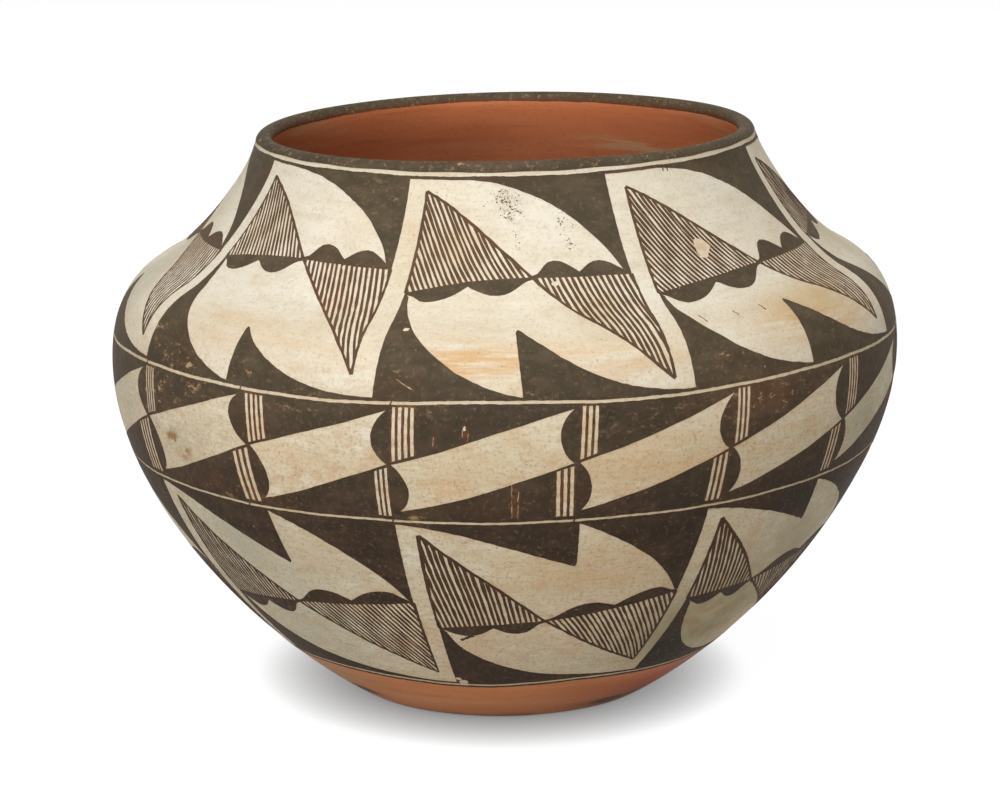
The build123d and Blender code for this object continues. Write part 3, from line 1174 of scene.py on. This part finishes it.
def white_slip():
    """White slip, darker and more mottled below the shoulder, with polishing streaks and specks."""
    mat = Recipe("white_slip", 0.6)
    upper_part = mat.band(mat.height, 0.118, 0.165)
    lower_part = mat.band(mat.height, 0.165, 0.118)
    upper = mat.mix(mat.cloudy(0.35, 0.7, 14, 3), colour(232, 224, 206), colour(227, 216, 192))
    lower = mat.mix(mat.cloudy(0.35, 0.65, 11, 13), colour(222, 203, 170), colour(216, 206, 178))
    mat.base = mat.mix(upper_part, lower, upper)
    mottle = mat.cloudy(0.46, 0.66, (95, 95, 130), 17, 6.0, 0.68)
    mat.tint((206, 162, 124), mottle, mat.ramp(lower_part, 0.42, 0.10))
    dry_brush = mat.cloudy(0.50, 0.66, (80, 80, 170), 37, 7.0, 0.68)
    mat.tint((238, 232, 214), dry_brush, 0.50)
    streaks = mat.noise((40, 40, 260), 7, 6.0, 0.65)
    mat.tint((206, 188, 155), mat.band(streaks, 0.45, 0.72), 0.34)
    hairs = mat.cloudy(0.48, 0.68, (200, 200, 900), 47, 4.0)
    mat.tint((182, 156, 120), hairs, mat.ramp(lower_part, 0.22, 0.12))
    mat.tint((216, 178, 132), mat.mark("blush"), mat.cloudy(0.34, 0.62, (34, 34, 380), 11, 6.0, 0.62))
    mat.tint((200, 174, 130), mat.mark("tan"), mat.cloudy(0.20, 0.6, (40, 40, 90), 51, 5.0, 0.6))
    mat.tint((184, 181, 160), mat.mark("cloud"), mat.cloudy(0.25, 0.60, 34, 19, 5.0))
    # Painted shade: the next mark darkens the slip on the lower right of the body, where shade falls, with a
    # copy on the back.
    mat.tint((160, 152, 118), mat.mark("smoke_and_shade"), mat.cloudy(0.20, 0.55, (34, 34, 70), 53, 5.0))
    # Stains, and one broad patch of painted shade on the lower right of the body.
    mat.tint((158, 120, 80), mat.mark("stain_and_shade"), mat.cloudy(0.42, 0.6, 160, 23, 4.0))
    grain = mat.cloudy(0.50, 0.66, 820, 31, 4.0, 0.72)
    mat.tint((168, 138, 102), grain, mat.ramp(lower_part, 0.26, 0.26))
    mat.tint((124, 98, 74), mat.specks(620, 5, 0.22, 0.12), 0.45)
    rust_specks = mat.specks(560, 9, 0.25, 0.14)
    mat.tint((178, 116, 78), rust_specks, mat.ramp(lower_part, 0.5, 0.15))
    rough = mat.ramp(streaks, 0.25, 0.47)
    return mat.finish(rough, [(streaks, 0.10), (mat.noise(700, 41, 4.0), 0.14), mat.dents()])


def black_paint(name, wear):
    """Black mineral paint, painted lighter higher up as a sheen. Wear is how much of it is rubbed to slip.
    """
    mat = Recipe(name, 0.6, 0.05)
    # Painted sheen: higher up the paint gets lighter colours, as if light falls on it there.
    above = mat.band(mat.height, 0.08, 0.17)
    thin = mat.noise((80, 80, 170), 2, 6.0, 0.65)
    dark = mat.mix(mat.band(thin, 0.42, 0.66), colour(60, 48, 39), colour(76, 59, 46))
    painted_sheen = mat.mix(mat.band(thin, 0.42, 0.66), colour(78, 69, 54), colour(94, 81, 65))
    mat.base = mat.mix(above, dark, painted_sheen)
    mat.tint((88, 60, 42), mat.cloudy(0.52, 0.70, (40, 40, 60), 5, 5.0, 0.6), 0.30)
    # Dark patches; those on the lower right of the body are painted shade.
    mat.tint((44, 37, 31), mat.mark("dark"), 0.8)
    mat.tint((116, 72, 48), mat.mark("rust"), mat.cloudy(0.30, 0.58, 60, 35, 5.0, 0.6))
    brush_lines = mat.cloudy(0.5, 0.72, (340, 340, 60), 33, 4.0, 0.6)
    mat.tint((102, 87, 66), brush_lines, 0.22)
    thin_edge = mat.band(mat.mark("brown"), 0.5, 1.0)
    mat.tint((116, 74, 50), thin_edge, mat.ramp(above, 0.20, 0.48))
    rubbed = mat.noise((230, 230, 420), 13, 6.0, 0.72)
    mat.tint((104, 78, 56), mat.mark("worn"), mat.band(rubbed, 0.48, 0.58))
    mat.tint((192, 166, 128), mat.mark("worn"), mat.band(rubbed, 0.57, 0.64))
    mat.tint((136, 116, 88), mat.cloudy(0.54, 0.70, 640, 21, 5.0, 0.7), wear)
    mat.tint((188, 168, 138), mat.specks(340, 3, 0.18, 0.035), 0.65)
    mat.tint((112, 70, 46), mat.specks(220, 29, 0.24, 0.08), 0.4)
    rough = mat.ramp(thin, 0.3, 0.48)
    return mat.finish(rough, [(mat.noise(500, 17, 4.0), 0.08), mat.dents()])


def red_slip(name, low, high):
    """Red slip that goes from one colour to another up the jar, between two heights in mm."""
    mat = Recipe(name, 0.5)
    mat.base = mat.mix(mat.band(mat.height, low[0] * MM, high[0] * MM), low[1], high[1])
    streaks = mat.noise((14, 14, 240), 4, 6.0, 0.6)
    mat.tint((150, 80, 48), mat.band(streaks, 0.48, 0.72), 0.24)
    mat.tint((218, 146, 98), mat.band(streaks, 0.50, 0.28), 0.30)
    mat.tint((136, 70, 42), mat.cloudy(0.5, 0.75, 26, 6), 0.14)
    # Pale patches, one of them painted light inside the neck.
    mat.tint((224, 174, 130), mat.mark("pale"), mat.cloudy(0.40, 0.68, (34, 34, 330), 8, 5.0, 0.6))
    mat.tint((172, 78, 36), mat.mark("deep"))
    mat.tint((86, 58, 38), mat.mark("smoke_and_shade"), mat.cloudy(0.36, 0.62, 60, 10, 5.0))
    mat.tint((176, 134, 90), mat.mark("ochre"), mat.cloudy(0.28, 0.58, (30, 30, 90), 16, 4.0))
    mat.tint((130, 74, 46), mat.cloudy(0.52, 0.70, 600, 18, 4.0, 0.65), 0.18)
    mat.tint((110, 62, 42), mat.specks(420, 12, 0.2, 0.06), 0.35)
    rough = mat.ramp(streaks, 0.3, 0.36)
    return mat.finish(rough, [(streaks, 0.16), (mat.noise(600, 14, 4.0), 0.10), mat.dents()])


def bare_clay():
    """Scraped clay with pale and dark grit."""
    mat = Recipe("fired_clay", 0.85)
    scrape = mat.noise((24, 24, 330), 2, 5.0)
    mat.base = mat.mix(mat.cloudy(0.35, 0.68, 22, 1, 4.0), colour(184, 138, 100), colour(156, 108, 78))
    mat.tint((128, 90, 66), mat.band(scrape, 0.5, 0.72), 0.5)
    mat.tint((120, 98, 80), mat.cloudy(0.52, 0.7, 9, 15), 0.55)
    mat.tint((206, 178, 144), mat.specks(420, 3, 0.24, 0.14), 0.55)
    mat.tint((92, 66, 50), mat.specks(460, 8, 0.25, 0.18), 0.5)
    rough = mat.ramp(scrape, 0.2, 0.75)
    return mat.finish(rough, [(scrape, 0.7), (mat.noise(420, 6, 4.0), 0.3)])


# Wear and firing marks, with some painted shade and painted light, on the visible side and, more sparsely,
# on the back, under the names that the materials read: angle, distance, half width, half height and strength
SLIP_MARKS = {
    "blush": (
        (-44, 206, 14, 3, 0.4), (-40, 197, 60, 9, 0.35), (-3, 195, 30, 8, 1.2), (17, 193, 20, 5, 0.7),
        (-28, 160, 26, 9, 0.2), (-8, 150, 9, 6, 0.8), (22, 156, 46, 13, 0.75), (45, 166, 24, 9, 0.6),
        (56, 196, 30, 9, 0.8), (46, 200, 20, 8, 0.8), (-20, 250, 30, 6, 0.2), (-27, 116, 16, 10, 0.3),
        (37.6, 237.5, 5, 5, 0.6), (14, 112, 26, 12, 0.6), (-4, 66, 16, 10, 0.4), (37, 126, 16, 6, 0.4),
        (130, 196, 60, 9, 0.7), (-140, 200, 60, 9, 0.7), (180, 160, 40, 12, 0.5),
    ),
    # The tan patch at 44 degrees and 70 mm is painted shade on the lower right of the body.
    "tan": (
        (-53, 243, 16, 14, 0.5), (-28, 222, 9, 18, 0.6), (-10, 243, 16, 14, 0.5), (14, 218, 10, 16, 0.6),
        (31, 240, 18, 14, 0.25), (58, 216, 14, 16, 0.5), (24, 199, 16, 12, 0.35), (40, 200, 40, 14, 0.35),
        (28, 160, 60, 14, 0.40), (-4, 162, 24, 8, 0.3), (44, 70, 30, 20, 1.0), (-42, 203, 40, 10, 0.4),
        (52, 206, 30, 10, 0.5), (15, 112, 40, 14, 0.3), (90, 235, 50, 50, 0.5), (-6, 208, 30, 10, 0.25),
        (-76, 215, 18, 30, 0.4), (-18.8, 240, 5, 26, 0.3),
    ),
    "cloud": (
        (-50, 78, 40, 28, 0.6), (-46, 120, 30, 16, 0.8), (-26, 118, 26, 14, 0.2), (58, 98, 34, 30, 0.3),
        (-52, 160, 26, 14, 0.3), (18, 60, 40, 14, 0.3), (-66, 166, 20, 14, 0.5), (64, 150, 20, 12, 0.2),
        (-82, 205, 22, 50, 0.7), (95, 200, 40, 50, 0.4), (150, 70, 60, 34, 0.7), (-150, 110, 46, 40, 0.5),
    ),
    # Painted shade on the lower right of the body, where shade falls, with a copy on the back.
    "smoke_and_shade": (
        (42, 71, 26, 20, 1.1), (31, 76, 8, 20, 0.4), (56, 104, 30, 26, 0.6), (62, 152, 20, 12, 0.5),
        (170, 90, 40, 30, 0.5),
    ),
    # Stains, but the broad patch at 45 degrees and 66 mm is painted shade on the lower right of the body.
    "stain_and_shade": (
        (-56, 158.5, 3, 2.5, 1.4), (-53.5, 156, 3.5, 2.5, 1.8), (-51, 152, 4, 3, 1.6), (30, 207, 3, 2, 0.5),
        (36, 207, 2, 2, 0.5), (1, 258, 6, 8, 0.2), (37.6, 237.5, 2, 2, 0.3), (45, 66, 30, 24, 0.5),
    ),
}
PAINT_MARKS = {
    "worn": (
        (-58, 194, 12, 4, 0.8), (-56, 187, 16, 4, 0.6), (-50, 184, 9, 3, 0.9), (-38, 186, 8, 3, 1.0),
        (-57, 170, 12, 8, 1.0), (-48, 177, 14, 4, 0.9), (-28, 178, 10, 4, 0.7), (-10, 179, 12, 3, 0.5),
        (31, 190, 8, 3, 0.9), (20, 172, 30, 6, 0.25), (38, 175, 24, 6, 0.7), (-25, 262, 12, 8, 0.35),
        (-40, 140, 30, 3, 0.35), (-14, 190, 8, 3, 0.5), (3, 184, 6, 3, 0.5), (-12, 138, 6, 2, 0.6),
        (66, 200, 12, 12, 0.4), (-50, 82, 14, 5, 0.5), (140, 178, 60, 6, 0.7), (-150, 176, 50, 6, 0.7),
        (30, 252, 6, 8, 0.25),
    ),
    # The first two patches, on the lower right of the body, are painted shade where shade falls.
    "dark": (
        (35, 55, 24, 16, 1.2), (50, 128, 30, 10, 0.7), (15, 175, 36, 7, 0.5), (-8, 175, 24, 7, 0.35),
        (5, 192, 16, 7, 0.3), (-55, 187, 20, 8, 0.3), (24, 130, 24, 8, 0.3), (-120, 175, 40, 8, 0.4),
        (150, 60, 40, 16, 0.5),
    ),
    "rust": (
        (38, 175, 30, 8, 0.35), (-45, 142, 34, 6, 0.2), (-3, 142, 24, 5, 0.12), (-30, 218, 18, 14, 0.6),
        (-76, 222, 14, 16, 0.5), (-8, 246, 12, 10, 0.4), (12, 148, 10, 6, 0.2), (160, 150, 50, 12, 0.25),
    ),
}
RIM_MARKS = {"dark": ((-84, 274, 34, 6, 0.6), (-50, 273, 20, 3, 0.3), (88, 275, 24, 4, 0.3))}
MOUTH_MARKS = {
    # The patch at -116 degrees is painted light on the left side inside the neck, where shade falls.
    "pale": (
        (153, 299.5, 14, 1.8, 3.0), (145, 301.5, 14, 2.0, 3.5), (137, 301.5, 10, 1.8, 3.0),
        (-116, 288, 30, 12, 0.8), (-165, 306, 50, 8, 0.35), (112, 284, 30, 12, 0.4),
    ),
    "smoke_and_shade": ((60, 330, 60, 12, 0.3), (-20, 334, 60, 14, 0.4), (160, 338, 60, 9, 0.4)),
    "deep": ((-158, 300, 50, 8, 0.2), (150, 312, 30, 6, 0.15)),
}
FOOT_MARKS = {
    "pale": ((-20, 22, 40, 6, 0.3), (170, 20, 50, 8, 0.5)),
    "smoke_and_shade": (
        (40, 14, 14, 3.5, 1.4), (34, 15, 6, 2.5, 0.6), (62, 34, 16, 7, 0.5), (-47, 17, 8, 4, 2.2),
        (120, 20, 50, 10, 0.5), (0, 6, 60, 4, 0.4),
    ),
    "ochre": ((-60, 31, 24, 11, 0.9), (-45, 34, 18, 6, 0.5), (64, 36, 14, 5, 0.3), (150, 30, 40, 8, 0.6)),
    "deep": ((46, 28, 34, 12, 0.8), (58, 24, 24, 12, 0.6), (-130, 26, 40, 8, 0.4)),
}
LINE_STAIN = 0.6
LINE_STAIN_REACH = 2


# Coats and paint
def red_edge():
    """Upper edge of the red foot, which follows the painted line over it."""
    angles = np.arange(COAT_COLUMNS) * 360 / COAT_COLUMNS
    return RED_TOP + line_wobble(angles, RED_TOP)


def white_coat():
    """The white slip, stained along the painted lines."""
    edges = (red_edge(), RIM_PAINT_START + SLIP_UNDER_RIM)
    mesh, angle, distance = coat_mesh("white_slip", *edges, COAT_ROW, COAT_LIFT, COAT_COLUMNS)
    marks = all_patches(angle, distance, SLIP_MARKS)
    for level in (BASE_EDGE[1], LOWER_BAND[1], MIDDLE_BAND[1], RIM_PAINT_START):
        marks["tan"] += LINE_STAIN * np.exp(-((distance - level) / LINE_STAIN_REACH) ** 2)
    keep_marks(mesh, marks)
    finish_piece("white_slip", mesh, white_slip(), ["white_slip_body"])


def foot_coat():
    """The red slip round the foot."""
    edges = (FOOT_SLIP_START, red_edge())
    mesh, angle, distance = coat_mesh("red_slip_foot", *edges, FOOT_ROW, COAT_LIFT, COAT_COLUMNS)
    keep_marks(mesh, all_patches(angle, distance, FOOT_MARKS))
    red = red_slip("red_slip_foot", (0, colour(214, 142, 92)), (26, colour(206, 133, 82)))
    finish_piece("red_slip_foot", mesh, red, ["red_slip_underbody"])


def mouth_coat():
    """The red slip inside the neck."""
    edges = (LIP_TOP + MOUTH_SLIP_START, LIP_TOP + MOUTH_SLIP_LENGTH)
    mesh, angle, distance = coat_mesh("red_slip_inside", *edges, COAT_ROW, COAT_LIFT, MOUTH_COLUMNS)
    keep_marks(mesh, all_patches(angle, distance, MOUTH_MARKS))
    # Painted light: the slip gets a lighter colour deeper in the neck, against the shade inside it.
    red = red_slip("red_slip_mouth", (165, colour(250, 166, 120)), (212, colour(220, 132, 87)))
    finish_piece("red_slip_inside", mesh, red, ["red_slip_mouth"])


def rim_coat():
    """The black paint over the lip, ragged along its inner edge and worn in small places."""
    rng = np.random.default_rng(RIM_SEED)
    degrees = np.arange(RIM_COLUMNS) * 360 / RIM_COLUMNS
    turn = np.radians(degrees)
    low = RIM_PAINT_START + line_wobble(degrees, RIM_PAINT_START) + ripple(turn, 0, RIM_LOW_WAVES)
    shake = rng.normal(0, RIM_SHAKE, RIM_COLUMNS + len(SHAKE_BLEND) - 1)
    ragged = ripple(turn, 0, RIM_HIGH_WAVES) + np.convolve(shake, SHAKE_BLEND, "valid")
    high = LIP_TOP + RIM_PAINT_REACH + ragged
    mesh, angle, distance = coat_mesh("rim_paint", low, high, RIM_ROW, RIM_LIFT, RIM_COLUMNS)
    chip_angles = rng.uniform(0, 360, CHIP_COUNT)
    levels = LIP_TOP + (rng.choice(CHIP_LEVELS, CHIP_COUNT) + rng.normal(0, CHIP_SPREAD, CHIP_COUNT))
    widths = rng.uniform(*CHIP_WIDTHS, CHIP_COUNT)
    heights = np.full(CHIP_COUNT, CHIP_HEIGHT)
    strengths = rng.uniform(*CHIP_STRENGTHS, CHIP_COUNT)
    marks = all_patches(angle, distance, RIM_MARKS)
    marks["worn"] = RIM_WEAR + patches(angle, distance, zip(chip_angles, levels, widths, heights, strengths))
    marks["brown"] = np.clip((distance - LIP_TOP) / RIM_BROWN_REACH, RIM_BROWN_LEAST, 1)
    keep_marks(mesh, marks)
    paint = black_paint("black_rim", RIM_PAINT_WEAR)
    finish_piece("rim_paint", mesh, paint, ["black_rim_paint"])


def painted_bands():
    """The films of the painted pattern. Black outlines and bare ones are laid over each other in order."""
    rng = random.Random(PAINT_SEED)
    paint = black_paint("black_paint", PAINT_WEAR)
    black, white = middle_band(rng)
    bare = [(False, s) for s in bare_places(rng)]
    strays = [(True, s) for s in pits(rng) + smears(rng)]
    between = (LOWER_BAND[1], UPPER_BAND[0])
    bands = {
        "paint_upper_band": ([(True, s) for s in upper_band(rng)] + strays + bare, UPPER_BAND),
        "paint_middle_band": ([(True, s) for s in black] + [(False, s) for s in white] + bare, between),
        "paint_lower_band": ([(True, s) for s in lower_band(rng)] + strays + bare, LOWER_BAND),
        "paint_base_line": ([(True, ring(*BASE_EDGE))], BASE_EDGE),
    }
    for name, (shapes, (low, high)) in bands.items():
        mesh, angle, distance, brown = film_mesh(name, shapes, low, high)
        keep_marks(mesh, {"brown": brown} | all_patches(angle, distance, PAINT_MARKS))
        finish_piece(name, mesh, paint, [])


# Floor, light and camera, in metres: a lamp's name, place, size and power, and whether reflections show it
FLOOR_HALF = 12.0
FLOOR_GREY = 0.62
FLOOR_SEEN_GREY = 0.10
SHADOW_SAMPLES = 8
SHADOW_REACH = 0.026
SHADOW_FADE = {"From Max": 0.75, "To Min": 0.16, "To Max": 0.97}
HIDDEN_SKY = 0.12
LAMPS = (
    ("key", (-0.45, -1.55, 1.60), 1.4, 27, True),
    ("front", (-0.20, -2.60, 0.80), 1.2, 6, True),
    ("side", (-1.50, -1.50, 0.60), 1.0, 7, True),
    ("top", (0.35, -0.55, 1.85), 1.4, 13.5, True),
    ("back", (0.15, 2.30, 0.60), 1.2, 10, False),
)
LAMP_TARGET = Vector((0, 0, 0.12))
CAMERA_PLACE = (-0.00077, -1.1338, 0.3819)
CAMERA_DIP = 13.558
SENSOR_WIDTH = 36
LENS = 108.09


def seen_directly(tree):
    """1 where the camera looks, or what it sees in a reflection or through glass, and 0 for other light."""
    path = add_node(tree, "ShaderNodeLightPath").outputs
    largest = path["Is Camera Ray"]
    for way in ("Is Glossy Ray", "Is Transmission Ray"):
        pair = {0: largest, 1: path[way]}
        largest = add_node(tree, "ShaderNodeMath", pair, operation="MAXIMUM").outputs[0]
    return largest


def pale_floor():
    """A floor that looks white but for a soft shadow close to the jar, and lights it as a grey one would."""
    sides = ((-1, -1), (1, -1), (1, 1), (-1, 1))
    corners = [(x * FLOOR_HALF, y * FLOOR_HALF, 0) for x, y in sides]
    mesh = bpy.data.meshes.new("floor")
    mesh.from_pydata(corners, [], [(0, 1, 2, 3)])
    floor = add_object("floor", mesh)
    material = bpy.data.materials.new("floor")
    material.use_nodes = True
    tree = material.node_tree
    tree.nodes.clear()
    plain = add_node(tree, "ShaderNodeBsdfDiffuse", {"Color": grey(FLOOR_GREY)}).outputs[0]
    pale = add_node(tree, "ShaderNodeBsdfDiffuse", {"Color": grey(FLOOR_SEEN_GREY)}).outputs[0]
    reach = {"Distance": SHADOW_REACH}
    near = add_node(tree, "ShaderNodeAmbientOcclusion", reach, samples=SHADOW_SAMPLES).outputs["AO"]
    shade = add_node(tree, "ShaderNodeMapRange", {"Value": near} | SHADOW_FADE).outputs["Result"]
    glow = add_node(tree, "ShaderNodeEmission", {"Strength": shade}).outputs[0]
    lit = add_node(tree, "ShaderNodeAddShader", {0: pale, 1: glow}).outputs[0]
    both = add_node(tree, "ShaderNodeMixShader", {0: seen_directly(tree), 1: plain, 2: lit}).outputs[0]
    add_node(tree, "ShaderNodeOutputMaterial", {"Surface": both})
    mesh.materials.append(material)


def soft_lamp(name, spot, size, power, reflected):
    lamp = bpy.data.lights.new(name, "AREA")
    lamp.size = size
    lamp.energy = power
    holder = add_object(name, lamp)
    holder.location = spot
    holder.rotation_euler = (LAMP_TARGET - Vector(spot)).to_track_quat("-Z", "Y").to_euler()
    holder.visible_glossy = reflected


def studio():
    """White all round to look at, but a dim sky to light the jar, which the lamps do."""
    world = bpy.data.worlds.new("studio")
    bpy.context.scene.world = world
    world.use_nodes = True
    tree = world.node_tree
    sky = tree.nodes["Background"].inputs
    sky["Color"].default_value = grey(1)
    strength = add_node(tree, "ShaderNodeMapRange", {"Value": seen_directly(tree), "To Min": HIDDEN_SKY})
    tree.links.new(strength.outputs["Result"], sky["Strength"])
    for lamp in LAMPS:
        soft_lamp(*lamp)


def camera():
    lens = bpy.data.cameras.new("camera")
    lens.sensor_width = SENSOR_WIDTH
    lens.lens = LENS
    holder = add_object("camera", lens)
    holder.location = CAMERA_PLACE
    holder.rotation_euler = (radians(90 - CAMERA_DIP), 0, 0)
    bpy.context.scene.camera = holder


clay_pieces(bare_clay())
white_coat()
foot_coat()
mouth_coat()
rim_coat()
painted_bands()
pale_floor()
studio()
camera()
bpy.context.scene.view_settings.view_transform = "Standard"
